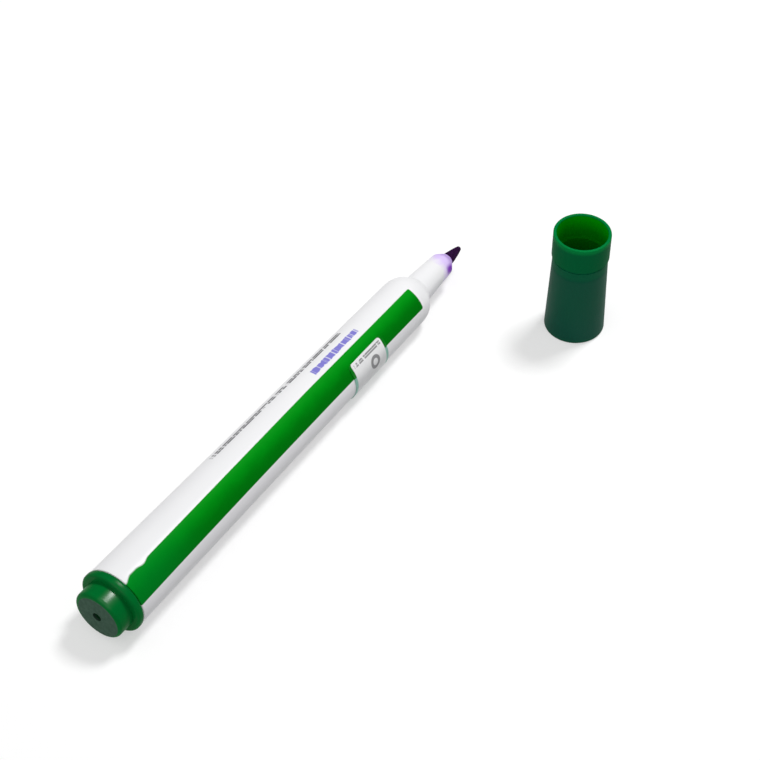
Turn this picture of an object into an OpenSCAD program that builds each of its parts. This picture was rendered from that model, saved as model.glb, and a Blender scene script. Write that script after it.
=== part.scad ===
// Permanent marker with a fibre nib, lying on a table with its push-on cap standing beside it.
// Sizes are millimetres. The marker lies along +X with its nib ahead, resting on the flange of the
// rear plug and on the front of the tapered barrel. The table is z = 0, and the origin is on it,
// under the middle of the marker and cap together.

/* [Barrel] */
// Diameter of the barrel at its rear face
barrel_rear_d = 14; // [13:0.1:17]
// Diameter of the barrel where its rounded front stretch starts
barrel_front_d = 11.9; // [11.2:0.1:13]
// Length from the rear face to the edge of the shoulder
barrel_len = 104.5; // [80:0.5:140]
// Wall of the barrel tube
barrel_wall = 1.25; // [1:0.05:1.4]
// Length of the rounded front stretch that the cap slides onto
front_len = 5; // [4:0.1:7]
// Diameter at the edge of the shoulder
shoulder_d = 10.4; // [9.6:0.1:10.9]
// Length of the slope from the edge of the shoulder to the neck
shoulder_len = 2.1; // [1.2:0.1:3]
// Number of ribs inside the barrel that centre the reservoir
barrel_ribs = 6; // [3:1:8]
// Thickness of each rib inside the barrel
barrel_rib_t = 0.8; // [0.6:0.1:1.2]
// Distance from the rear face to where the ribs start
barrel_rib_start = 45; // [25:1:70]

/* [Neck] */
// Diameter of the neck at the shoulder
neck_base_d = 7; // [6.4:0.1:8]
// Diameter of the neck at its front edge
neck_tip_d = 5.6; // [5.2:0.1:6.2]
// Length of the neck from the shoulder to its front edge
neck_len = 9.9; // [7:0.1:14]
// Wall of the neck
neck_wall = 1.1; // [0.8:0.05:1.2]
// Length of the cone between the neck and the nib
nose_len = 1.4; // [1:0.1:3]
// Wall round the nib at the end of that cone
nose_wall = 0.3; // [0.2:0.05:0.6]
// Number of fins in the neck that hold the nib
neck_fins = 4; // [3:1:6]
// Thickness of each fin in the neck
neck_fin_t = 0.8; // [0.5:0.1:1]

/* [Nib] */
// Diameter of the nib rod
nib_d = 2.6; // [2.2:0.1:2.9]
// Length of the nib that stands out of the nose
nib_out = 5.2; // [3:0.1:6]
// Length of its straight stretch in front of the nose
nib_straight = 0.8; // [0.2:0.1:2]
// Diameter of the blunt writing end
nib_tip_d = 1; // [0.6:0.1:1.6]
// Length of the nib's tail inside the reservoir
nib_tail = 8; // [4:0.5:12]
// Length of the point at the end of the tail
nib_point = 3; // [1.5:0.5:3.5]

/* [Reservoir] */
// Diameter of the ink-soaked fibre core
core_d = 8; // [6:0.1:8.4]
// Length of the core
core_len = 86; // [60:0.5:88]
// Thickness of the film round the core
film_t = 0.12; // [0.08:0.01:0.2]
// Distance of the core's front face behind the edge of the shoulder
core_setback = 3.5; // [3.2:0.1:6]

/* [Rear plug] */
// How far the flange stands out past the barrel
flange_lip = 0.15; // [0.1:0.05:0.8]
// Thickness of the flange
flange_t = 1.8; // [1.2:0.1:3]
// Radius round the edge of the flange
flange_round = 0.6; // [0.3:0.05:0.6]
// How far the side of the end knob stands in from the barrel
knob_inset = 1.4; // [0.6:0.05:1.6]
// Length of the end knob
knob_len = 3.9; // [3:0.1:5]
// Height of the knob's domed end
dome_h = 1.6; // [0.8:0.1:2.9]
// Diameter of the flat in the middle of the domed end
dome_flat_d = 2.6; // [2.6:0.1:6]
// Diameter of the moulding recess in that flat
recess_d = 2; // [0.8:0.1:2.5]
// Depth of the recess
recess_depth = 1.8; // [0.5:0.1:2.2]
// Thickness of the plug's closed end
plug_end_t = 2.8; // [2.4:0.1:3.2]
// Length of the spigot inside the barrel
spigot_len = 8; // [5:0.5:12]
// Wall of the spigot
spigot_wall = 1.1; // [0.8:0.05:1.4]
// Number of sealing beads round the spigot
spigot_beads = 2; // [1:1:3]
// Width of the cross-shaped stem that stops the reservoir
stem_w = 6.4; // [4:0.1:7]
// Thickness of the stem's two plates
stem_t = 1; // [0.7:0.1:1.5]

/* [Cap] */
// Height of the cap
cap_h = 27.2; // [25:0.1:34]
// Diameter at the closed end
cap_base_d = 13.4; // [12.6:0.1:16]
// Diameter of the body just under the collar
cap_waist_d = 12.1; // [11.8:0.1:12.2]
// Diameter of the collar round the mouth
collar_d = 12.6; // [12.6:0.1:13.2]
// Height of the collar
collar_h = 6.5; // [4:0.1:8]
// Depth of the fine groove under the collar
collar_groove = 0.15; // [0.05:0.05:0.2]
// Width of that groove
collar_groove_w = 0.4; // [0.2:0.1:1]
// Diameter of the mouth
cap_bore_d = 11.2; // [10.9:0.05:11.4]
// Diameter of the inside just below the collar
cap_throat_d = 10.6; // [10.4:0.1:10.8]
// Length of the slope from the mouth's bore to that throat
throat_slope = 0.5; // [0.2:0.1:1]
// Diameter of the inside at the closed end
cap_inside_d = 10.4; // [10:0.1:10.4]
// Thickness of the closed end
cap_floor_t = 1.3; // [1:0.1:2]
// Radius round the lower edge of the cap
cap_base_round = 0.45; // [0.2:0.05:0.8]

/* [Inner cap] */
// Bore of the sleeve that seals on the neck
sleeve_bore_d = 6; // [5.7:0.05:6.6]
// Wall of the sleeve
sleeve_wall = 1; // [0.7:0.05:1.2]
// Depth of the sleeve's mouth below the cap's mouth
sleeve_setback = 9.8; // [9.6:0.1:11]
// Thickness of the foot that is pressed into the closed end
sleeve_foot_t = 1.2; // [0.8:0.1:2]
// Number of fins that steady the sleeve
sleeve_fins = 4; // [3:1:6]
// Thickness of each of those fins
sleeve_fin_t = 0.8; // [0.5:0.1:1.2]

/* [Seal label] */
// Length of the label along the barrel
label_len = 12.4; // [8:0.1:16]
// Width of the label round the barrel
label_wrap = 12.5; // [8:0.1:14]
// Thickness of the label
label_t = 0.12; // [0.06:0.02:0.2]
// Corner radius of the label
label_corner = 0.9; // [0.5:0.1:3]
// Distance from the rear face to the middle of the label
label_place = 78.8; // [20:0.1:86]
// Angle from the top of the barrel to the label's upper edge, towards the cap's side
label_turn = 39; // [0:1:45]

/* [Layout] */
// Distance of the cap's axis from the marker's axis
cap_aside = 31.8; // [18:0.1:60]
// Distance of the cap's axis behind the tip of the nib
cap_behind_tip = 1.5; // [-20:0.1:60]

/* [Fits] */
// Interference of a press fit, on the radius
press = 0.03; // [0.01:0.01:0.05]
// Clearance of a slip fit, on the radius
slip = 0.03; // [0.01:0.01:0.05]

/* [Hidden] */
$fn = 96;
arc_steps = 5;
front_steps = 12;
dome_steps = 16;
weld = 0.4;
edge_round = 0.3;
foot_round = 0.6;
rim_share = 0.4;

// Radii
rear_r = barrel_rear_d / 2;
front_r = barrel_front_d / 2;
shoulder_r = shoulder_d / 2;
neck_base_r = neck_base_d / 2;
neck_tip_r = neck_tip_d / 2;
nib_r = nib_d / 2;
nib_tip_r = nib_tip_d / 2;
core_r = core_d / 2;
film_in_r = core_r + slip;
film_out_r = film_in_r + film_t;
flange_r = rear_r + flange_lip;
knob_r = rear_r - knob_inset;
dome_flat_r = dome_flat_d / 2;
socket_r = rear_r - barrel_wall;
cap_base_r = cap_base_d / 2;
cap_waist_r = cap_waist_d / 2;
collar_r = collar_d / 2;
cap_bore_r = cap_bore_d / 2;
cap_throat_r = cap_throat_d / 2;
cap_inside_r = cap_inside_d / 2;
sleeve_in_r = sleeve_bore_d / 2;
sleeve_out_r = sleeve_in_r + sleeve_wall;

// Stations along the marker, measured from the barrel's rear face towards the nib
front_z = barrel_len - front_len;
neck_z = barrel_len + shoulder_len;
neck_end_z = neck_z + neck_len;
nose_z = neck_end_z + nose_len;
tip_z = nose_z + nib_out;
core_front_z = barrel_len - core_setback;
core_rear_z = core_front_z - core_len;
tail_z = core_front_z - nib_tail;
socket_z = spigot_len + edge_round;
knob_z = -flange_t;
plug_end_z = knob_z - knob_len;

// Stations up the cap, measured from its closed end
collar_z = cap_h - collar_h;
sleeve_top_z = cap_h - sleeve_setback;
foot_z = cap_floor_t + sleeve_foot_t;

// Lay of the marker: it tips nose down until the flange and the front of the barrel both touch
touch_z = -flange_round;
lay_tilt = atan((flange_r - front_r) / (front_z - touch_z));
lay_height = flange_r * cos(lay_tilt) + touch_z * sin(lay_tilt);
tip_reach = tip_z * cos(lay_tilt);
cap_reach = tip_reach - cap_behind_tip;
low_x = plug_end_z * cos(lay_tilt) - dome_flat_r * sin(lay_tilt);
high_x = max(tip_reach, cap_reach + cap_base_r);
low_y = min(-flange_r, -cap_aside - cap_base_r);
middle_x = (low_x + high_x) / 2;
middle_y = (low_y + flange_r) / 2;

// Outer radius of the tapered barrel at a station
function barrel_r(z) = rear_r + (front_r - rear_r) * z / front_z;

// Inner radius of the barrel's tube in front of the plug's socket
function cavity_r(z) =
    socket_r + (front_r - barrel_wall - socket_r) * (z - socket_z) / (front_z - socket_z);

function unit(v) = v / norm(v);

// Arc of a given radius that rounds the corner b between a and c
function corner_arc(a, b, c, r) =
    let (
        u = unit(a - b),
        v = unit(c - b),
        half = acos(u * v) / 2,
        middle = b + unit(u + v) * r / sin(half),
        p = b + u * r / tan(half) - middle,
        q = b + v * r / tan(half) - middle,
        start = atan2(p.y, p.x),
        turn = atan2(p.x * q.y - p.y * q.x, p * q)
    )
    [for (i = [0 : arc_steps]) middle + r * [cos(start + turn * i / arc_steps), sin(start + turn * i / arc_steps)]];

// Outline from points [radius, height, rounding]
function outline(points) =
    let (n = len(points), flat = [for (p = points) [p.x, p.y]])
    [for (i = [0 : n - 1])
        each points[i].z > 0
            ? corner_arc(flat[(i + n - 1) % n], flat[i], flat[(i + 1) % n], points[i].z)
            : [flat[i]]];

// Solid of revolution from such points
module turned(points) {
    rotate_extrude() polygon(outline(points));
}

// Upright plates set round the axis, each with the same outline in radius and height
module plates(count, thickness, points) {
    for (i = [0 : count - 1])
        rotate([0, 0, i * 360 / count])
            rotate([90, 0, 0])
                linear_extrude(height = thickness, center = true)
                    polygon(points);
}

// Places a piece of the marker, modelled upright on its rear face, as it lies on the table
module laid_down() {
    translate([-middle_x, -middle_y, lay_height])
        rotate([0, 90 + lay_tilt, 0])
            children();
}

// Places a piece of the cap, modelled on its closed end, where the cap stands
module stood_aside() {
    translate([cap_reach - middle_x, -cap_aside - middle_y, 0])
        children();
}

// White moulded barrel: tapered tube, rounded front, sloping shoulder, tapered neck and nose cone
module barrel() {
    front_drop = front_r - shoulder_r;
    lead = (rear_r - front_r) / front_z * front_len;
    front_curve = [for (i = [1 : front_steps - 1])
        let (u = i / front_steps)
        [front_r - lead * u - (front_drop - lead) * u * u, front_z + front_len * u, 0]];
    nib_hole_r = nib_r + slip;
    color("whitesmoke") laid_down() {
        difference() {
            turned(concat(
                [[0, 0, 0], [rear_r, 0, edge_round], [front_r, front_z, 0]],
                front_curve,
                [
                    [shoulder_r, barrel_len, edge_round],
                    [neck_base_r, neck_z, foot_round],
                    [neck_tip_r, neck_end_z, edge_round],
                    [nib_hole_r + nose_wall, nose_z, 0],
                    [0, nose_z, 0]
                ]
            ));
            turned([
                [0, -weld, 0],
                [socket_r, -weld, 0],
                [socket_r, socket_z, 0],
                [front_r - barrel_wall, front_z, 0],
                [shoulder_r - barrel_wall, barrel_len, 0],
                [neck_base_r - neck_wall, neck_z, 0],
                [neck_tip_r - neck_wall, neck_end_z, 0],
                [nib_hole_r, neck_end_z, 0],
                [nib_hole_r, nose_z + weld, 0],
                [0, nose_z + weld, 0]
            ]);
        }
        reservoir_ribs();
        nib_fins();
    }
}

// Ribs along the inside of the barrel, with a step at the front that stops the reservoir
module reservoir_ribs() {
    plates(barrel_ribs, barrel_rib_t, [
        [film_out_r + slip, barrel_rib_start],
        [cavity_r(barrel_rib_start) + weld, barrel_rib_start],
        [front_r - barrel_wall + weld, front_z],
        [shoulder_r - barrel_wall + weld, barrel_len],
        [neck_base_r - neck_wall + weld, neck_z],
        [neck_base_r - neck_wall, core_front_z],
        [film_out_r + slip, core_front_z]
    ]);
}

// Fins inside the neck that grip the nib and leave air passages between them
module nib_fins() {
    grip_r = nib_r - press;
    plates(neck_fins, neck_fin_t, [
        [grip_r, neck_z],
        [neck_base_r - neck_wall + weld, neck_z],
        [neck_tip_r - neck_wall + weld, neck_end_z],
        [grip_r, neck_end_z]
    ]);
}

// Nib rod from its pointed tail to the writing end, grown all over by a clearance
module nib_rod(grow) {
    turned([
        [0, tail_z - grow, 0],
        [nib_tip_r + grow, tail_z - grow, 0],
        [nib_r + grow, tail_z + nib_point, 0],
        [nib_r + grow, nose_z + nib_straight, 0],
        [nib_tip_r + grow, tip_z + grow, edge_round],
        [0, tip_z + grow, 0]
    ]);
}

// Bonded fibre nib
module nib() {
    color("indigo") laid_down() nib_rod(0);
}

// Ink-soaked fibre core, with the pocket that the nib's tail presses open
module ink_reservoir() {
    color("rebeccapurple") laid_down()
        difference() {
            translate([0, 0, core_rear_z]) cylinder(r = core_r, h = core_len);
            nib_rod(slip);
        }
}

// Plastic film wrapped round the core
module reservoir_film() {
    color("gainsboro") laid_down()
        difference() {
            translate([0, 0, core_rear_z]) cylinder(r = film_out_r, h = core_len);
            translate([0, 0, core_rear_z - weld]) cylinder(r = film_in_r, h = core_len + 2 * weld);
        }
}

// Sealing beads round the spigot of the plug
module spigot_seals() {
    pitch = spigot_len / (spigot_beads + 1);
    for (i = [1 : spigot_beads])
        turned([
            [socket_r - weld, i * pitch - weld, 0],
            [socket_r + press, i * pitch - weld / 2, 0],
            [socket_r + press, i * pitch + weld / 2, 0],
            [socket_r - weld, i * pitch + weld, 0]
        ]);
}

// Rear plug: domed end knob with a moulding recess, rounded flange, hollow spigot and stem
module rear_plug() {
    dome = [for (i = [0 : dome_steps])
        let (turn = 90 * i / dome_steps)
        [dome_flat_r + (knob_r - dome_flat_r) * sin(turn), plug_end_z + dome_h * (1 - cos(turn)), 0]];
    spigot_in_r = socket_r - spigot_wall;
    plug_floor_z = plug_end_z + plug_end_t;
    color("seagreen") laid_down() {
        difference() {
            turned(concat(
                [[0, plug_end_z, 0]],
                dome,
                [
                    [knob_r, knob_z, 0],
                    [flange_r, knob_z, flange_round],
                    [flange_r, 0, flange_round],
                    [socket_r - slip, 0, 0],
                    [socket_r - slip, spigot_len, foot_round],
                    [spigot_in_r, spigot_len, 0],
                    [spigot_in_r, plug_floor_z, edge_round],
                    [0, plug_floor_z, 0]
                ]
            ));
            translate([0, 0, plug_end_z - weld]) cylinder(d = recess_d, h = recess_depth + weld);
        }
        spigot_seals();
        for (turn = [0, 90])
            rotate([0, 0, turn])
                translate([-stem_w / 2, -stem_t / 2, plug_floor_z - weld])
                    cube([stem_w, stem_t, core_rear_z - plug_floor_z + weld]);
    }
}

// Rounded label wrapped part of the way round the tapered barrel: a thin shell of the barrel's taper,
// cut out by a prism whose outline is the flat label rolled up
module seal_label() {
    glue_r = barrel_r(label_place) + slip;
    degrees_per_mm = 180 / PI / glue_r;
    half_wrap = label_wrap / 2;
    half_len = label_len / 2;
    flat_label = outline([
        [-half_wrap, -half_len, label_corner],
        [half_wrap, -half_len, label_corner],
        [half_wrap, half_len, label_corner],
        [-half_wrap, half_len, label_corner]
    ]);
    rolled_label = [for (p = flat_label) [glue_r * sin(p.x * degrees_per_mm), label_place + p.y]];
    low_z = label_place - label_len;
    high_z = label_place + label_len;
    color("lightgray") laid_down()
        rotate([0, 0, 180 + label_turn + half_wrap * degrees_per_mm])
            intersection() {
                turned([
                    [barrel_r(low_z) + slip, low_z, 0],
                    [barrel_r(low_z) + slip + label_t, low_z, 0],
                    [barrel_r(high_z) + slip + label_t, high_z, 0],
                    [barrel_r(high_z) + slip, high_z, 0]
                ]);
                rotate([90, 0, 90]) linear_extrude(height = barrel_rear_d) polygon(rolled_label);
            }
}

// Outer cap: closed end, body that narrows upwards to a fine groove, collar round the mouth, plain
// bore in the collar and narrower inside below it
module cap_shell() {
    rim_round = min(edge_round, rim_share * (collar_r - cap_bore_r));
    color("darkgreen") stood_aside()
        turned([
            [0, 0, 0],
            [cap_base_r, 0, cap_base_round],
            [cap_waist_r, collar_z - collar_groove_w, 0],
            [cap_waist_r - collar_groove, collar_z - collar_groove_w, 0],
            [cap_waist_r - collar_groove, collar_z, 0],
            [collar_r - edge_round / 2, collar_z, 0],
            [collar_r, collar_z + edge_round / 2, 0],
            [collar_r, cap_h, rim_round],
            [cap_bore_r, cap_h, rim_round],
            [cap_bore_r, collar_z + throat_slope, 0],
            [cap_throat_r, collar_z, 0],
            [cap_inside_r, cap_floor_t, 0],
            [0, cap_floor_t, 0]
        ]);
}

// Inner cap: sleeve that seals round the neck, on a foot pressed into the closed end
module inner_cap() {
    foot_r = cap_inside_r + press;
    color("darkseagreen") stood_aside() {
        turned([
            [0, cap_floor_t, 0],
            [foot_r, cap_floor_t, 0],
            [foot_r, foot_z, 0],
            [sleeve_out_r, foot_z, 0],
            [sleeve_out_r, sleeve_top_z, edge_round],
            [sleeve_in_r, sleeve_top_z, edge_round],
            [sleeve_in_r, foot_z, 0],
            [0, foot_z, 0]
        ]);
        plates(sleeve_fins, sleeve_fin_t, [
            [sleeve_out_r - weld, foot_z - weld],
            [cap_inside_r - slip, foot_z - weld],
            [cap_inside_r - slip, foot_z],
            [sleeve_out_r - weld, sleeve_top_z - foot_round]
        ]);
    }
}

barrel();
nib();
ink_reservoir();
reservoir_film();
rear_plug();
seal_label();
cap_shell();
inner_cap();
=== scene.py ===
import math
import random

import bmesh
import bpy
from mathutils import Matrix, Vector


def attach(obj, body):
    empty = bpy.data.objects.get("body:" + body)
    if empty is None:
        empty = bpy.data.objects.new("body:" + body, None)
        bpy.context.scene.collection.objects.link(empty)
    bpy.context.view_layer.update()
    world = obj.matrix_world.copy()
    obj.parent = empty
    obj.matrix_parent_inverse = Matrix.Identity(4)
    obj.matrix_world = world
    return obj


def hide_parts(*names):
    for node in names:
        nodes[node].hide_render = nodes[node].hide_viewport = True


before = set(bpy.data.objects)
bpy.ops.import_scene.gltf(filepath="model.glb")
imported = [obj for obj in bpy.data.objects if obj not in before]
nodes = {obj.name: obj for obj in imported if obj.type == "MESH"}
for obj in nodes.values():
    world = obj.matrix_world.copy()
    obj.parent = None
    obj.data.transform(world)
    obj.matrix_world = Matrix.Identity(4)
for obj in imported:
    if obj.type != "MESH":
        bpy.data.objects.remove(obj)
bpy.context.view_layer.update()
print("frame loaded:", ", ".join(sorted(nodes)))

mm = 0.001
degree = math.radians(1)

lie = {  # how the marker lies: the middle of its rear face, and how far its nose tips down
    "rearFace": (-61.2880, 15.675, 7.1423),
    "tilt": 0.68683,
}
rearFace = Vector(lie["rearFace"]) * mm
tilt = math.radians(lie["tilt"])
laidDown = Matrix.Translation(rearFace) @ Matrix.Rotation(tilt, 4, "Y") @ Matrix.Scale(mm, 4)


class Wire:  # a socket that takes part in Python sums
    def __init__(self, wiring, socket):
        self.wiring = wiring
        self.socket = socket

    def sum(self, operation, *values):
        return self.wiring.add("Math", {"operation": operation}, dict(enumerate(values)))

    def __add__(self, other):
        return self.sum("ADD", self, other)

    def __radd__(self, other):
        return self.sum("ADD", other, self)

    def __sub__(self, other):
        return self.sum("SUBTRACT", self, other)

    def __rsub__(self, other):
        return self.sum("SUBTRACT", other, self)

    def __mul__(self, other):
        return self.sum("MULTIPLY", self, other)

    def __rmul__(self, other):
        return self.sum("MULTIPLY", other, self)

    def __truediv__(self, other):
        return self.sum("DIVIDE", self, other)

    def __rtruediv__(self, other):
        return self.sum("DIVIDE", other, self)

    def __pow__(self, other):
        return self.sum("POWER", self, other)

    def __abs__(self):
        return self.sum("ABSOLUTE", self)

    def atLeast(self, other):
        return self.sum("MAXIMUM", self, other)

    def whole(self):
        return self.sum("FLOOR", self)

    def bounce(self, width):  # climbs to width and falls back, over and over
        return self.sum("PINGPONG", self, width)

    def hypot(self, other):
        return (self ** 2 + other ** 2) ** 0.5

    def rise(self, start, end):  # 0 at start, 1 at end, eased between
        return self.wiring.add("MapRange", {"interpolation_type": "SMOOTHSTEP"},
                               {"Value": self, "From Min": start, "From Max": end})

    def below(self, level, soft):  # 1 under a level and 0 over it, eased over a soft edge
        return self.rise(level + soft, level - soft)

    def within(self, start, end, soft):  # 1 from start to end, eased just inside them
        return self.rise(start, start + soft) * self.rise(end, end - soft)

    def lifted(self, least, more):  # least, and up to more on top of it
        return least + self * more

    def swing(self, width):  # a grain as a shift to either side
        return (self - 0.5) * width


class Wiring:  # the nodes of one tree
    def __init__(self, tree):
        self.tree = tree

    def feed(self, node, inputs):
        for key, value in inputs.items():
            if isinstance(value, Wire):
                self.tree.links.new(value.socket, node.inputs[key])
            else:
                node.inputs[key].default_value = value

    def add(self, kind, settings=None, inputs=None, out=0):
        node = self.tree.nodes.new("ShaderNode" + kind)
        for key, value in (settings or {}).items():
            setattr(node, key, value)
        self.feed(node, inputs or {})
        return Wire(self, node.outputs[out])

    def split(self, vector):
        node = self.add("SeparateXYZ", None, {"Vector": vector}).socket.node
        return [Wire(self, socket) for socket in node.outputs]

    def join(self, x, y, z):
        return self.add("CombineXYZ", None, {"X": x, "Y": y, "Z": z})

    def grain(self, spot, scale=1.0, detail=2.0, roughness=0.5):
        return self.add("TexNoise", {"noise_dimensions": "3D"},
                        {"Vector": spot, "Scale": scale, "Detail": detail, "Roughness": roughness}, "Fac")

    def strokes(self, along, across, seed, detail=1.0):  # a grain drawn out into broken strokes
        return self.grain(self.join(along, across, seed), detail=detail)

    def mix(self, amount, first, second):
        node = self.add("Mix", {"data_type": "RGBA"}, {"Factor": amount}).socket.node
        self.feed(node, {6: first, 7: second})  # its two colours
        return Wire(self, node.outputs[2])


class Finish(Wiring):  # one material and the nodes that feed its shader
    def __init__(self, name, **constants):
        self.material = bpy.data.materials.new(name)
        self.material.use_nodes = True
        super().__init__(self.material.node_tree)
        self.shader = self.tree.nodes["Principled BSDF"]
        self.paint(**constants)

    def paint(self, **inputs):
        self.feed(self.shader, {key.replace("_", " "): value for key, value in inputs.items()})
        return self.material

    def objectSpot(self, place, turn=(0, 0, 0)):  # millimetres from a place on the object
        return self.add("Mapping", {"vector_type": "TEXTURE"},
                        {"Vector": self.add("TexCoord", out="Object"), "Location": place,
                         "Rotation": turn, "Scale": (mm, mm, mm)})

    def markerSpot(self):  # millimetres along the marker from its rear face, and across it
        return self.objectSpot(rearFace, (0, tilt, 0))

    def degreesDown(self, y, z):  # degrees round the marker from its top towards the cap's side
        return self.add("Math", {"operation": "ARCTAN2"}, {0: y * -1, 1: z}) * math.degrees(1)

    def relief(self, height, depth):
        return self.add("Bump", None, {"Height": height, "Distance": depth * mm, "Strength": 1.0})


def rgb(red, green, blue):
    return (red, green, blue, 1.0)


def dress(node, material):
    slots = nodes[node].data.materials
    slots.clear()
    slots.append(material)


def addObject(name, data):
    thing = bpy.data.objects.new(name, data)
    bpy.context.scene.collection.objects.link(thing)
    return thing


def addPiece(name, build, material):  # turns a finished bmesh into an object
    mesh = bpy.data.meshes.new(name)
    build.to_mesh(mesh)
    build.free()
    mesh.materials.append(material)
    return addObject(name, mesh)


copyLook = {  # how a copied piece is joined up and shaded
    "merge": 0.001,  # millimetres
    "crease": 30.0,  # degrees
}


# Copies a marker piece and moves its points along the marker
def remould(node, name, newPlace, material):
    build = bmesh.new()
    build.from_mesh(nodes[node].data)
    bmesh.ops.remove_doubles(build, verts=build.verts, dist=copyLook["merge"] * mm)
    bmesh.ops.transform(build, matrix=laidDown.inverted(), verts=build.verts)
    for vert in build.verts:
        vert.co.x = newPlace(vert.co.x, math.hypot(vert.co.y, vert.co.z))
    bmesh.ops.transform(build, matrix=laidDown, verts=build.verts)
    for face in build.faces:
        face.smooth = True
    piece = addPiece(name, build, material)
    oldNormals = piece.data.attributes.get("custom_normal")
    if oldNormals:
        piece.data.attributes.remove(oldNormals)
    piece.data.set_sharp_from_angle(angle=math.radians(copyLook["crease"]))
    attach(piece, "marker")
    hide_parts(node)


# Barrel: white moulding with a green printed stripe, fine ruled print and ink on its nose
# A grain is given by its scale and detail, and a share is how much of a colour is laid on
barrelLook = {
    "specular": 0.01,
    "coat": 0.2,  # none on the stripe
    "coatRough": 0.28,
    "rough": (0.36, 0.10),  # least, and what the haze adds
    "haze": (1.1, 3.0),
    "skin": (2.6, 2.0),
    "skinDepth": 0.012,
    "white": rgb(0.87, 0.87, 0.88),
    "shade": rgb(0.84, 0.84, 0.855),
    "mottle": (0.12, 3.0),
    # painted shade on the downward side of the white, slightly lilac
    "shadedWhite": rgb(0.76, 0.755, 0.78),
    "shadedWhiteTurn": (58, 78),  # degrees down from the top, over which painted shade darkens the white
    "shadedWhiteShare": 0.8,
    "green": rgb(0.0, 0.285, 0.007),
    # painted shade: the stripe's ink turns darker down the low side
    "shadedGreen": rgb(0.0, 0.166, 0.004),
    "shadedGreenTurn": (17, 56),
    "cloud": (0.35, 3.0),
    "cloudSwing": 14,  # degrees
    "rearGreen": rgb(0.0, 0.210, 0.024),
    "rearGreenReach": (26, 2),
    "rearGreenShare": 0.5,
    "rearRadius": 7.0,
    "taper": 1.05 / 99.5,  # radius lost per mm
    "stripeEnd": 99.65,
    "stripeCorner": 0.4,
    "stripeSoft": 0.10,
    "rearSoft": 0.14,  # so much softer at the rear of the upper edge
    "rearSoftReach": (9, 5),
    "rearSoftTurn": (40, 30),
    "highEdge": (14.6, 0.093, 61.0),  # degrees at the front, more per mm behind this place
    "lowEdge": (67.15, 0.0013, 54.6),  # degrees at its highest, more per square mm away from this place
    "rearWave": (5.8, 2.0, 3.4),  # worn place in the upper edge: where, how wide, degrees
    "rearFade": (2.2, 6.0),  # worn rear end of that edge: how long, degrees
    "print": rgb(0.07, 0.07, 0.08),
    "printShare": 0.85,
    "lines": (35.0, 80.2, -39.0, -26.4),  # from and to along the barrel, from and to in degrees
    "lineSoft": (0.4, 0.2),  # millimetres at the ends, degrees at the sides
    "linePitch": 0.69,
    "lineEdge": (0.46, 0.34),  # of the pitch
    "dashes": (1.3, 7.3, 3.7),  # strokes per mm, shift per row, seed
    "dashDetail": 2.0,
    "dashEdge": (0.36, 0.42),
    "gaps": (0.55, 2.2, 8.1),  # strokes per mm, shift, seed
    "gapInk": (0.2, 0.8),  # left in a gap, and more outside it
    "violetPrint": rgb(0.17, 0.15, 0.60),
    "violetShare": 0.92,
    "violetMiddle": (74.1, -2.8),  # along the barrel, degrees
    "violetSize": (16.4, 7.4),  # length, degrees tall
    "violetEnd": 0.3,
    "ragged": (1.3, 7.1, 0.3),
    "raggedEdge": (0.6, 0.35, 0.8),  # of the height: where ink ends, where it is full, swing of both
    "marks": (2.6, 5.2, 0.7),
    "markEdge": (0.34, 0.46),
    "markInk": (0.3, 0.7),
    "stain": rgb(0.70, 0.54, 0.95),
    "stainDeep": rgb(0.22, 0.045, 0.50),
    "blot": (0.55, 2.0),
    "stainStart": (112.3, 115.0),
    "stainSwing": 2.6,
    "stainShare": 0.9,
    "stainLean": (0.6, 1.1),  # so much further back on the low side, and less far on the far side
    "leanTurn": ((30, 80), (-5, -45)),  # degrees of those two sides
    "stainRim": (115.4, 116.8),
    "rimSwing": 1.5,
    "rimShare": 0.45,
    "stainSpot": (115.3, 78.0, 1.9),  # place, degrees, radius
    "spotSwing": 1.2,
    "spotFull": 0.25,  # of that radius
    "noseRadius": 2.9,
    "stations": ((101.2, 101.2), (104.5, 103.2), (106.6, 105.4), (116.5, 116.0),
                 (117.9, 117.9)),  # along the turned barrel, and where the moulding has them
}


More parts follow.
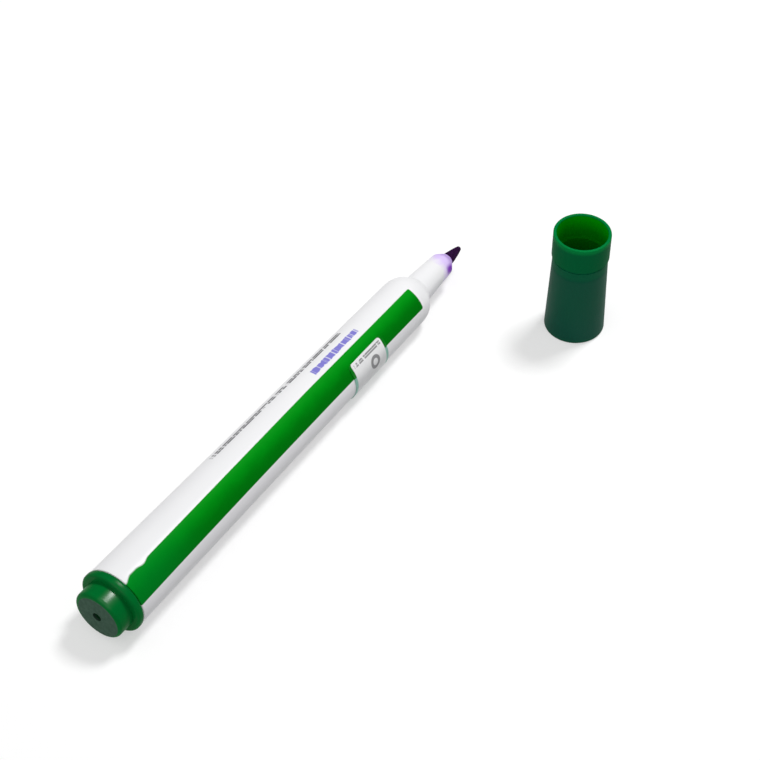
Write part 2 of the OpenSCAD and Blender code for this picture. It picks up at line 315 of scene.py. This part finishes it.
def makeBarrelFinish():
    look = barrelLook
    f = Finish("whiteBarrel", Specular_IOR_Level=look["specular"], Coat_Roughness=look["coatRough"])
    spot = f.markerSpot()
    x, y, z = f.split(spot)
    turn = f.degreesDown(y, z)
    mmPerDegree = (look["rearRadius"] - x * look["taper"]) * degree

    # Outline of the stripe
    front, slope, bend = look["highEdge"]
    place, width, depth = look["rearWave"]
    fade, lift = look["rearFade"]
    high = front + (bend - x).atLeast(0) * slope
    high = high + abs(x - place).rise(width, 0) * depth + x.rise(fade, 0) * lift
    highest, more, bend = look["lowEdge"]
    low = highest + (x - bend) ** 2 * more
    across = (abs(turn - (high + low) * 0.5) - (low - high) * 0.5) * mmPerDegree
    corner = look["stripeCorner"]
    ahead = (x - look["stripeEnd"] + corner).atLeast(0)
    outside = ahead.hypot((across + corner).atLeast(0)) - corner
    worn = x.rise(*look["rearSoftReach"]) * turn.rise(*look["rearSoftTurn"])
    stripe = outside.below(0, look["stripeSoft"] + worn * look["rearSoft"])

    # White moulding and green ink, both darker down the low side as painted shade
    mottle = f.grain(spot, *look["mottle"])
    white = f.mix(mottle, look["white"], look["shade"])
    # painted shade: the white turns duller and slightly lilac down the low side
    white = f.mix(turn.rise(*look["shadedWhiteTurn"]) * look["shadedWhiteShare"], white, look["shadedWhite"])
    cloud = f.grain(spot, *look["cloud"]).swing(look["cloudSwing"])
    # painted shade down the low side, shifted by a random cloud
    green = f.mix((turn + cloud).rise(*look["shadedGreenTurn"]), look["green"], look["shadedGreen"])
    green = f.mix(x.rise(*look["rearGreenReach"]) * look["rearGreenShare"], green, look["rearGreen"])

    # Ruled print in rows of dashes
    start, end, top, bottom = look["lines"]
    endSoft, sideSoft = look["lineSoft"]
    pitch = look["linePitch"]
    empty, full = look["lineEdge"]
    down = (turn - top) * mmPerDegree
    row = (down / pitch).whole()
    perMm, perRow, seed = look["dashes"]
    dashes = f.strokes(x * perMm, row * perRow, seed, look["dashDetail"]).rise(*look["dashEdge"])
    perMm, shift, seed = look["gaps"]
    gaps = f.strokes(x * perMm, shift, seed).rise(*look["dashEdge"]).lifted(*look["gapInk"])
    rows = abs(down - (row + 0.5) * pitch).rise(pitch * empty, pitch * full)
    field = x.within(start, end, endSoft) * turn.within(top, bottom, sideSoft)
    white = f.mix(rows * field * dashes * gaps * look["printShare"], white, look["print"])

    # Plain violet strokes
    middle, side = look["violetMiddle"]
    length, tall = look["violetSize"]
    perMm, shift, seed = look["ragged"]
    ragged = f.strokes(x * perMm, shift, seed)
    empty, full, swing = look["raggedEdge"]
    band = abs(turn - side).rise(tall * ragged.lifted(empty, swing), tall * ragged.lifted(full, swing))
    perMm, shift, seed = look["marks"]
    marks = f.strokes(x * perMm, shift, seed).rise(*look["markEdge"]).lifted(*look["markInk"])
    violet = band * abs(x - middle).rise(length * 0.5, length * 0.5 - look["violetEnd"]) * marks
    white = f.mix(violet * look["violetShare"], white, look["violetPrint"])
    colour = f.mix(stripe, white, green)

    # Ink on the nose
    blot = f.grain(spot, *look["blot"])
    lowSide, farSide = look["stainLean"]
    lowTurn, farTurn = look["leanTurn"]
    lean = turn.rise(*lowTurn) * lowSide - turn.rise(*farTurn) * farSide
    stain = (x + blot.swing(look["stainSwing"]) + lean).rise(*look["stainStart"])
    colour = f.mix(stain * look["stainShare"], colour, look["stain"])
    rim = (x + blot.swing(look["rimSwing"])).rise(*look["stainRim"])
    colour = f.mix(rim * look["rimShare"], colour, look["stainDeep"])
    place, side, size = look["stainSpot"]
    around = (turn - side) * (look["noseRadius"] * degree)
    spread = (x - place).hypot(around) + blot.swing(look["spotSwing"])
    colour = f.mix(spread.rise(size, size * look["spotFull"]), colour, look["stainDeep"])

    haze = f.grain(spot, *look["haze"])
    skin = f.grain(spot, *look["skin"])
    return f.paint(Base_Color=colour, Roughness=haze.lifted(*look["rough"]),
                   Coat_Weight=look["coat"] - stripe * look["coat"],
                   Normal=f.relief(skin, look["skinDepth"]))


def drawnBack(x, radius):  # the same at every radius
    stations = barrelLook["stations"]
    for (start, newStart), (end, newEnd) in zip(stations, stations[1:]):
        if start <= x <= end:
            return newStart + (x - start) / (end - start) * (newEnd - newStart)
    return x


remould("barrel", "mouldedBarrel", drawnBack, makeBarrelFinish())
print("barrel built and dressed")

# Rear plug: glossy green moulding, duller on its nearly flat end, whose middle is painted grey as a floor
# reflection
plugLook = {
    "specular": 0.02,
    "coatRough": 0.27,
    "rough": (0.28, 0.06),
    "endRough": 0.15,  # so much rougher on the dull middle of its end
    "fine": (5.0, 2.0),
    "skin": (2.2, 2.0),
    "skinDepth": 0.008,
    "green": rgb(0.0, 0.150, 0.024),
    "deep": rgb(0.0, 0.122, 0.022),
    "mottle": (0.5, 3.0),
    # grey of the end's middle: a painted floor reflection, scuffed at random
    "end": rgb(0.052, 0.103, 0.071),
    "endScuff": rgb(0.039, 0.084, 0.056),
    "scuff": (0.9, 4.0, 0.6),  # scale, detail, roughness
    "scuffEdge": (0.35, 0.65),
    "dullReflectionEdge": (4.95, 4.75),  # radius over which its dull middle, painted grey as a floor reflection, begins
    "endDepth": (0.6, 0.4),  # how far in from the end that reaches
    "dullReflectionShift": (-0.1, -0.2),  # that middle lies a little off the axis
    # painted shade darkens the recess in the end
    "recess": rgb(0.008, 0.026, 0.015),
    "recessEdge": (1.08, 0.94),  # radius over which the recess begins
    "recessFrom": (-3.0, -3.5),  # only behind these places along the marker
    "handled": ((0, 13), (44, 27)),  # degrees round the side that a hand keeps polished
    "handledFrom": (0.1, 0.7),  # in from the end
    "polish": 0.9,
    "flange": (-2.0, -1.6),  # where the flange begins
    "flangeLess": 0.77,  # polish that it lacks
    "endFace": -5.7,
    "endRound": 0.75,  # radius round the edge of the end
    "endCrown": 0.12,  # how far the end stands out at its middle
    "knobRadius": 5.6,
    "flatRadius": 1.3,  # points nearer the axis stay where they are
    "slack": 0.01,
    "domeStart": -4.05,  # points ahead of this stay where they are
}


def makePlugFinish():
    look = plugLook
    f = Finish("greenPlug", Specular_IOR_Level=look["specular"], Coat_Roughness=look["coatRough"])
    spot = f.markerSpot()
    x, y, z = f.split(spot)
    turn = f.degreesDown(y, z)
    inward = x - look["endFace"]
    aside, down = look["dullReflectionShift"]
    # the end's middle: rougher, and grey as a painted floor reflection
    face = (y - aside).hypot(z - down).rise(*look["dullReflectionEdge"]) * inward.rise(*look["endDepth"])
    colour = f.mix(f.grain(spot, *look["mottle"]), look["green"], look["deep"])
    scuff = f.grain(spot, *look["scuff"]).rise(*look["scuffEdge"])
    colour = f.mix(face, colour, f.mix(scuff, look["end"], look["endScuff"]))
    # painted shade in the recess
    recessShadeMask = y.hypot(z).rise(*look["recessEdge"]) * x.rise(*look["recessFrom"])
    colour = f.mix(recessShadeMask, colour, look["recess"])
    above, below = look["handled"]
    polish = turn.rise(*above) * turn.rise(*below) * inward.rise(*look["handledFrom"])
    polish = polish * (look["polish"] - x.rise(*look["flange"]) * look["flangeLess"])
    fine = f.grain(spot, *look["fine"])
    skin = f.grain(spot, *look["skin"])
    return f.paint(Base_Color=colour, Roughness=fine.lifted(*look["rough"]) + face * look["endRough"],
                   Coat_Weight=polish, Normal=f.relief(skin, look["skinDepth"]))


def flatEnded(x, radius):
    look = plugLook
    if x > look["domeStart"] or radius < look["flatRadius"] - look["slack"]:
        return x
    edge = look["knobRadius"] - look["endRound"]
    if radius < edge:
        outward = (radius - look["flatRadius"]) / (edge - look["flatRadius"])
        return look["endFace"] + look["endCrown"] * max(outward, 0)
    overEdge = min((radius - edge) / look["endRound"], 1)
    sink = look["endRound"] * (1 - math.sqrt(1 - overEdge ** 2))
    return look["endFace"] + look["endCrown"] + sink


remould("rear_plug", "knobbedPlug", flatEnded, makePlugFinish())
print("rear plug built and dressed")

# Seal label: white film with a clear margin, plain ruled lines and a plain ring
labelLook = {
    "specular": 0.1,
    "coat": 0.3,
    "coatRough": 0.2,
    "rough": (0.3, 0.1),
    "haze": (1.5, 2.0),
    "skin": (0.9, 2.0),
    "skinDepth": 0.02,
    "film": rgb(0.87, 0.87, 0.88),
    # greyer film: random clouding, and painted shade towards the low edge
    "dull": rgb(0.52, 0.525, 0.535),
    "paintedShadeFrom": (2.0, 5.0),  # millimetres below the top edge, over which painted shade darkens the film
    "paintedShadeShare": 0.6,
    "cloud": (0.6, 3.0),
    "cloudShare": 0.3,
    "marginOnStripe": rgb(0.0, 0.175, 0.006),
    "marginOnWhite": rgb(0.234, 0.46, 0.385),
    "marginSoft": 0.08,
    "marginCoat": 0.2,  # coat that it lacks
    "stripeLow": (67.3, 68.5),  # degrees where the stripe under the margin ends
    "middle": 78.8,
    "top": 39.0,  # degrees
    "radius": 6.17,
    "halfLength": 6.2,
    "wrap": 12.5,  # millimetres round the barrel
    "corner": 1.5,
    "margin": 0.8,
    "topMargin": 0.05,
    "rule": rgb(0.07, 0.07, 0.075),
    "ruleShare": 0.7,
    "ruleStart": 0.52,
    "rulePitch": 0.5,
    "ruleEdge": (0.25, 0.12),
    "ruleEnds": (-4.8, 5.0, 0.2),  # from and to along the label, and how soft
    "ruleTop": (0.5, 0.58),
    "ruleBottom": (1.55, 1.45),
    "dashes": (1.4, 0.4, 1.3),  # strokes per mm along, and down, and seed
    "dashEdge": (0.42, 0.46),
    "ring": (1.5, 36.0, 1.2),  # ahead of the middle, degrees below the top edge, radius
    "ringEdge": (0.5, 0.3),
    "ringShare": 0.75,
}


def makeLabelFinish():
    look = labelLook
    f = Finish("whiteLabel", Specular_IOR_Level=look["specular"], Coat_Roughness=look["coatRough"])
    spot = f.markerSpot()
    x, y, z = f.split(spot)
    turn = f.degreesDown(y, z)
    mmPerDegree = look["radius"] * degree
    u = x - look["middle"]
    v = (turn - look["top"]) * mmPerDegree
    corner = look["corner"]
    half = look["wrap"] / 2
    endward = abs(u) - look["halfLength"] + corner
    sideward = abs(v + look["margin"] - look["topMargin"] - half) - half + corner
    inset = endward.atLeast(0).hypot(sideward.atLeast(0)) - corner
    edge = inset.rise(-look["margin"] - look["marginSoft"], -look["margin"] + look["marginSoft"])
    margin = f.mix(turn.rise(*look["stripeLow"]), look["marginOnStripe"], look["marginOnWhite"])
    cloud = f.grain(spot, *look["cloud"]) * look["cloudShare"]
    # random clouding, and painted shade towards the low edge
    film = f.mix(cloud + v.rise(*look["paintedShadeFrom"]) * look["paintedShadeShare"], look["film"], look["dull"])
    perMm, perMmDown, seed = look["dashes"]
    dashes = f.strokes(x * perMm, v * perMmDown, seed).rise(*look["dashEdge"])
    pitch = look["rulePitch"]
    rows = abs((v - look["ruleStart"]).bounce(pitch) - pitch / 2).rise(*look["ruleEdge"])
    field = u.within(*look["ruleEnds"]) * v.rise(*look["ruleTop"]) * v.rise(*look["ruleBottom"])
    colour = f.mix(rows * field * dashes * look["ruleShare"], film, look["rule"])
    ahead, below, size = look["ring"]
    ring = abs((u - ahead).hypot(v - below * mmPerDegree) - size).rise(*look["ringEdge"])
    colour = f.mix(ring * look["ringShare"], colour, look["rule"])
    colour = f.mix(edge, colour, margin)
    haze = f.grain(spot, *look["haze"])
    skin = f.grain(spot, *look["skin"])
    return f.paint(Base_Color=colour, Roughness=haze.lifted(*look["rough"]),
                   Coat_Weight=look["coat"] - edge * look["marginCoat"],
                   Normal=f.relief(skin, look["skinDepth"]))


dress("seal_label", makeLabelFinish())
print("label dressed")

# Cap: satin green outside with a fine lighter line and band under a brighter collar, all three lightened
# by painted light; a painted highlight on the rim; and an inside brightened by painted light and darkened
# deeper in by painted shade
capLook = {
    "specular": 0.012,
    "coat": 0.16,
    "bandCoat": 0.08,  # coat that the band and collar lack
    "bandCoatSoft": 1.0,
    "collarCoat": 0.06,  # the collar lacks this as well
    "coatRough": 0.42,
    "rough": (0.43, 0.1),
    "fine": (4.0, 2.0),
    "skin": (1.8, 3.0),
    "skinDepth": 0.015,
    "axis": (60.3032, -16.125, 0),
    "body": rgb(0.0, 0.066, 0.034),
    # painted floor reflection: the body turns greyer towards the base
    "foot": rgb(0.001, 0.064, 0.038),
    "footReach": (13, 1),  # heights over which the body turns to the foot's colour
    "cloud": (0.35, 3.0),
    "cloudSwing": 6,
    # painted highlight: a lighter band under the collar, as if a small bevel caught the light; laid
    # weaker round the base too
    "band": rgb(0.0, 0.085, 0.036),
    "bandWidth": 2.3,
    "bandSoft": 0.5,
    "baseBand": (1.3, 0.3),  # heights of a weaker band round the base
    "baseShare": 0.5,
    # painted light that lightens the shadow line under the collar's overhang
    "line": rgb(0.0, 0.105, 0.045),
    "lineWidth": 0.5,
    "lineSoft": 0.1,
    # painted light: the collar is brighter, as if lit through its thinner wall
    "collar": rgb(0.0, 0.099, 0.031),
    "collarHeight": 20.7,
    "collarSoft": 0.03,
    # painted highlight round the mouth's rim
    "rim": rgb(0.0, 0.185, 0.040),
    "rimDepth": (1.5, 0.4),  # depths below the mouth, as the three after it
    "insideFrom": (0.2, 0.4),
    "deepFrom": (1.0, 5.0),
    "floorFrom": (5.9, 6.2),
    "mouthHeight": 27.2,
    # painted light through the wall brightens the inside, and painted shade darkens it deeper in
    "inside": rgb(0.0, 0.370, 0.0),
    "shadedDeepInside": rgb(0.0, 0.275, 0.002),
    "shadedWellFloor": rgb(0.0, 0.205, 0.001),
    "innerWall": 5.7,
    "wallSoft": 0.04,
}


def makeCapFinish(name):
    look = capLook
    f = Finish(name, Specular_IOR_Level=look["specular"], Coat_Roughness=look["coatRough"])
    spot = f.objectSpot(Vector(look["axis"]) * mm)
    x, y, z = f.split(spot)
    under = look["collarHeight"] - z
    depth = look["mouthHeight"] - z
    cloud = f.grain(spot, *look["cloud"]).swing(look["cloudSwing"])
    # painted floor reflection, greyer towards the base
    body = f.mix((z + cloud).rise(*look["footReach"]), look["body"], look["foot"])
    body = f.mix(z.rise(*look["baseBand"]) * look["baseShare"], body, look["band"])
    # painted highlight band under the collar
    body = f.mix(under.below(look["bandWidth"], look["bandSoft"]), body, look["band"])
    # painted light over the shadow line under the collar
    body = f.mix(under.below(look["lineWidth"], look["lineSoft"]), body, look["line"])
    upper = under.below(0, look["collarSoft"])
    # painted light on the collar
    colour = f.mix(upper, body, look["collar"])
    # painted highlight on the rim
    colour = f.mix(depth.rise(*look["rimDepth"]), colour, look["rim"])
    # painted light inside the cap, turning to painted shade with depth
    well = f.mix(depth.rise(*look["deepFrom"]), look["inside"], look["shadedDeepInside"])
    well = f.mix(depth.rise(*look["floorFrom"]), well, look["shadedWellFloor"])
    inside = x.hypot(y).below(look["innerWall"], look["wallSoft"])
    colour = f.mix(inside * depth.rise(*look["insideFrom"]), colour, well)
    banded = under.rise(look["bandWidth"] + look["bandCoatSoft"], look["bandWidth"])
    fine = f.grain(spot, *look["fine"])
    skin = f.grain(spot, *look["skin"])
    return f.paint(Base_Color=colour, Roughness=fine.lifted(*look["rough"]),
                   Coat_Weight=look["coat"] - banded * look["bandCoat"] - upper * look["collarCoat"],
                   Normal=f.relief(skin, look["skinDepth"]))


dress("cap_shell", makeCapFinish("greenCap"))
dress("inner_cap", makeCapFinish("greenInnerCap"))
print("cap dressed")

fibreLook = {  # bonded fibre, in the nib and in the ink core
    "stretch": 0.12,  # strands run along the marker
    "strands": (7.0, 3.0),
    "strandEdge": (0.35, 0.75),
    "rough": (0.55, 0.3),
    "depth": 0.05,
}


def makeFibreFinish(name, tint):
    look = fibreLook
    f = Finish(name, Specular_IOR_Level=tint["specular"])
    x, y, z = f.split(f.markerSpot())
    strands = f.grain(f.join(x * look["stretch"], y, z), *look["strands"])
    return f.paint(Base_Color=f.mix(strands.rise(*look["strandEdge"]), tint["dark"], tint["light"]),
                   Roughness=strands.lifted(*look["rough"]), Normal=f.relief(strands, look["depth"]))


# Nib: bonded fibre rod, grooved along its strands, with a worn writing end
nibLook = {
    "dark": rgb(0.012, 0.001, 0.020),
    "light": rgb(0.042, 0.006, 0.064),
    "specular": 0.06,
    "outline": [(93.0, 0.5), (96.0, 1.3), (117.9, 1.3), (118.8, 1.43), (121.4, 0.96), (122.85, 0.60),
                (123.04, 0.50), (123.1, 0.34)],
    "fineEdges": (3, 7),  # stretches of the outline that are cut finer
    "cuts": 8,
    "sides": 96,
    "merge": 1e-5,
    "mouth": 117.9,
    "easeIn": 0.4,  # millimetres past the mouth over which grooves and lean begin
    "lean": (118.0, 0.14, 0.02),  # degrees that it is pushed over to, how far at once, and more per mm
    "groove": 0.055,
    "strands": (19, 31, 47),  # waves round the nib
    "sway": 0.15,  # most that a wave shifts per mm
    "seed": 7,
    "solidRadius": 0.1,  # no grooves this near the middle
}


def makeNib():
    look = nibLook
    build = bmesh.new()
    start, end = look["outline"][0][0], look["outline"][-1][0]
    row = [build.verts.new((x, 0, radius)) for x, radius in [(start, 0)] + look["outline"] + [(end, 0)]]
    edges = [build.edges.new(pair) for pair in zip(row, row[1:])]
    first, last = look["fineEdges"]
    bmesh.ops.subdivide_edges(build, edges=edges[first:last], cuts=look["cuts"])
    bmesh.ops.spin(build, geom=build.verts[:] + build.edges[:], cent=(0, 0, 0), axis=(1, 0, 0),
                   angle=math.tau, steps=look["sides"], use_merge=True)
    bmesh.ops.remove_doubles(build, verts=build.verts, dist=look["merge"])
    bmesh.ops.recalc_face_normals(build, faces=build.faces)
    draw = random.Random(look["seed"])
    sway = look["sway"]
    waves = [(count, draw.uniform(0, math.tau), draw.uniform(-sway, sway)) for count in look["strands"]]
    toward, atOnce, perMm = look["lean"]
    for vert in build.verts:
        x, y, z = vert.co
        out = x - look["mouth"]
        if out <= 0:
            continue
        ease = min(out / look["easeIn"], 1)
        radius = math.hypot(y, z)
        if radius > look["solidRadius"]:
            angle = math.atan2(y, z)
            ripples = [math.sin(count * angle + shift + drift * x) for count, shift, drift in waves]
            dip = 0.5 + 0.5 * sum(ripples) / len(ripples)
            keep = 1 - look["groove"] * ease * dip / radius
            vert.co.y = y * keep
            vert.co.z = z * keep
        push = (atOnce + perMm * out) * ease
        vert.co.y -= push * math.sin(math.radians(toward))
        vert.co.z += push * math.cos(math.radians(toward))
    bmesh.ops.transform(build, matrix=laidDown, verts=build.verts)
    for face in build.faces:
        face.smooth = True
    nib = addPiece("fibreNib", build, makeFibreFinish("inkyNib", look))
    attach(nib, "marker")
    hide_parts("nib")


makeNib()
print("nib built")

# Ink core and the film round it, inside the barrel
coreLook = {
    "dark": rgb(0.10, 0.025, 0.19),
    "light": rgb(0.20, 0.07, 0.32),
    "specular": 0.3,
}
filmLook = {
    "film": rgb(0.72, 0.72, 0.75),
    "crease": rgb(0.60, 0.60, 0.64),
    "creases": (1.2, 3.0),
    "stretch": 0.15,  # creases run along the marker
    "creaseDepth": 0.03,
    "rough": (0.2, 0.2),
    "specular": 0.5,
}


def makeFilmFinish():
    look = filmLook
    f = Finish("wrapFilm", Specular_IOR_Level=look["specular"])
    x, y, z = f.split(f.markerSpot())
    crease = f.grain(f.join(x * look["stretch"], y, z), *look["creases"])
    return f.paint(Base_Color=f.mix(crease, look["film"], look["crease"]),
                   Roughness=crease.lifted(*look["rough"]), Normal=f.relief(crease, look["creaseDepth"]))


dress("ink_reservoir", makeFibreFinish("inkyCore", coreLook))
dress("reservoir_film", makeFilmFinish())
print("core and film dressed")

# Floor, lamp, soft room and camera
stageLook = {
    "floorColour": rgb(0.55, 0.55, 0.55),
    "floorGlow": 0.46,
    "floorRough": 0.9,
    "floorSize": 6.0,
    "floorDrop": 0.02,  # millimetres under the object
    "roomBright": 0.88,  # light from behind the marker's rear end
    "roomDim": 0.12,  # light from ahead of its nib
    "roomTurn": 0.6,  # share of the way ahead and behind at which those two are reached
    "keyToward": (0.45, -0.12, 0.885),
    "keyDistance": 0.9,
    "keySize": 0.2,
    "keyPower": 5.2,
}


def makeFloor():
    look = stageLook
    build = bmesh.new()
    bmesh.ops.create_grid(build, x_segments=1, y_segments=1, size=look["floorSize"] / 2)
    bmesh.ops.translate(build, verts=build.verts, vec=(0, 0, -look["floorDrop"] * mm))
    f = Finish("paleFloor", Base_Color=look["floorColour"], Roughness=look["floorRough"],
               Specular_IOR_Level=0.0, Emission_Strength=1.0)
    path = f.add("LightPath").socket.node
    seen = Wire(f, path.outputs["Is Camera Ray"])
    for ray in ("Is Glossy Ray", "Is Transmission Ray"):
        seen = seen.atLeast(Wire(f, path.outputs[ray]))
    floor = addPiece("floor", build, f.paint(Emission_Color=seen * look["floorGlow"]))


def makeLamp():
    look = stageLook
    data = bpy.data.lights.new("keyLamp", "AREA")
    data.shape = "SQUARE"
    data.size = look["keySize"]
    data.energy = look["keyPower"]
    lamp = addObject("keyLamp", data)
    direction = Vector(look["keyToward"]).normalized()
    lamp.location = direction * look["keyDistance"]
    lamp.rotation_mode = "QUATERNION"
    lamp.rotation_quaternion = direction.to_track_quat("Z", "Y")


def makeRoom():
    look = stageLook
    world = bpy.data.worlds.new("softRoom")
    world.use_nodes = True
    w = Wiring(world.node_tree)
    x = w.split(w.add("TexCoord", out="Generated"))[0]
    rearward = x.rise(look["roomTurn"], -look["roomTurn"])
    level = rearward.lifted(look["roomDim"], look["roomBright"] - look["roomDim"])
    w.feed(w.tree.nodes["Background"], {"Color": level, "Strength": 1.0})
    bpy.context.scene.world = world


cameraPlace = {
    "position": (-226.131, -156.875, 308.93),  # millimetres
    "direction": (0.5759, 0.3885, -0.7193),
    "lens": 93.22,
    "sensor": 36.0,
    "clip": (0.01, 20.0),  # metres
}


def makeCamera():
    look = cameraPlace
    data = bpy.data.cameras.new("camera")
    data.lens = look["lens"]
    data.sensor_width = look["sensor"]
    data.clip_start, data.clip_end = look["clip"]
    camera = addObject("camera", data)
    camera.location = Vector(look["position"]) * mm
    camera.rotation_mode = "QUATERNION"
    camera.rotation_quaternion = Vector(look["direction"]).to_track_quat("-Z", "Y")
    bpy.context.scene.camera = camera


makeFloor()
makeLamp()
makeRoom()
makeCamera()
bpy.context.scene.view_settings.view_transform = "Standard"
print("floor, lamp, room and camera set")
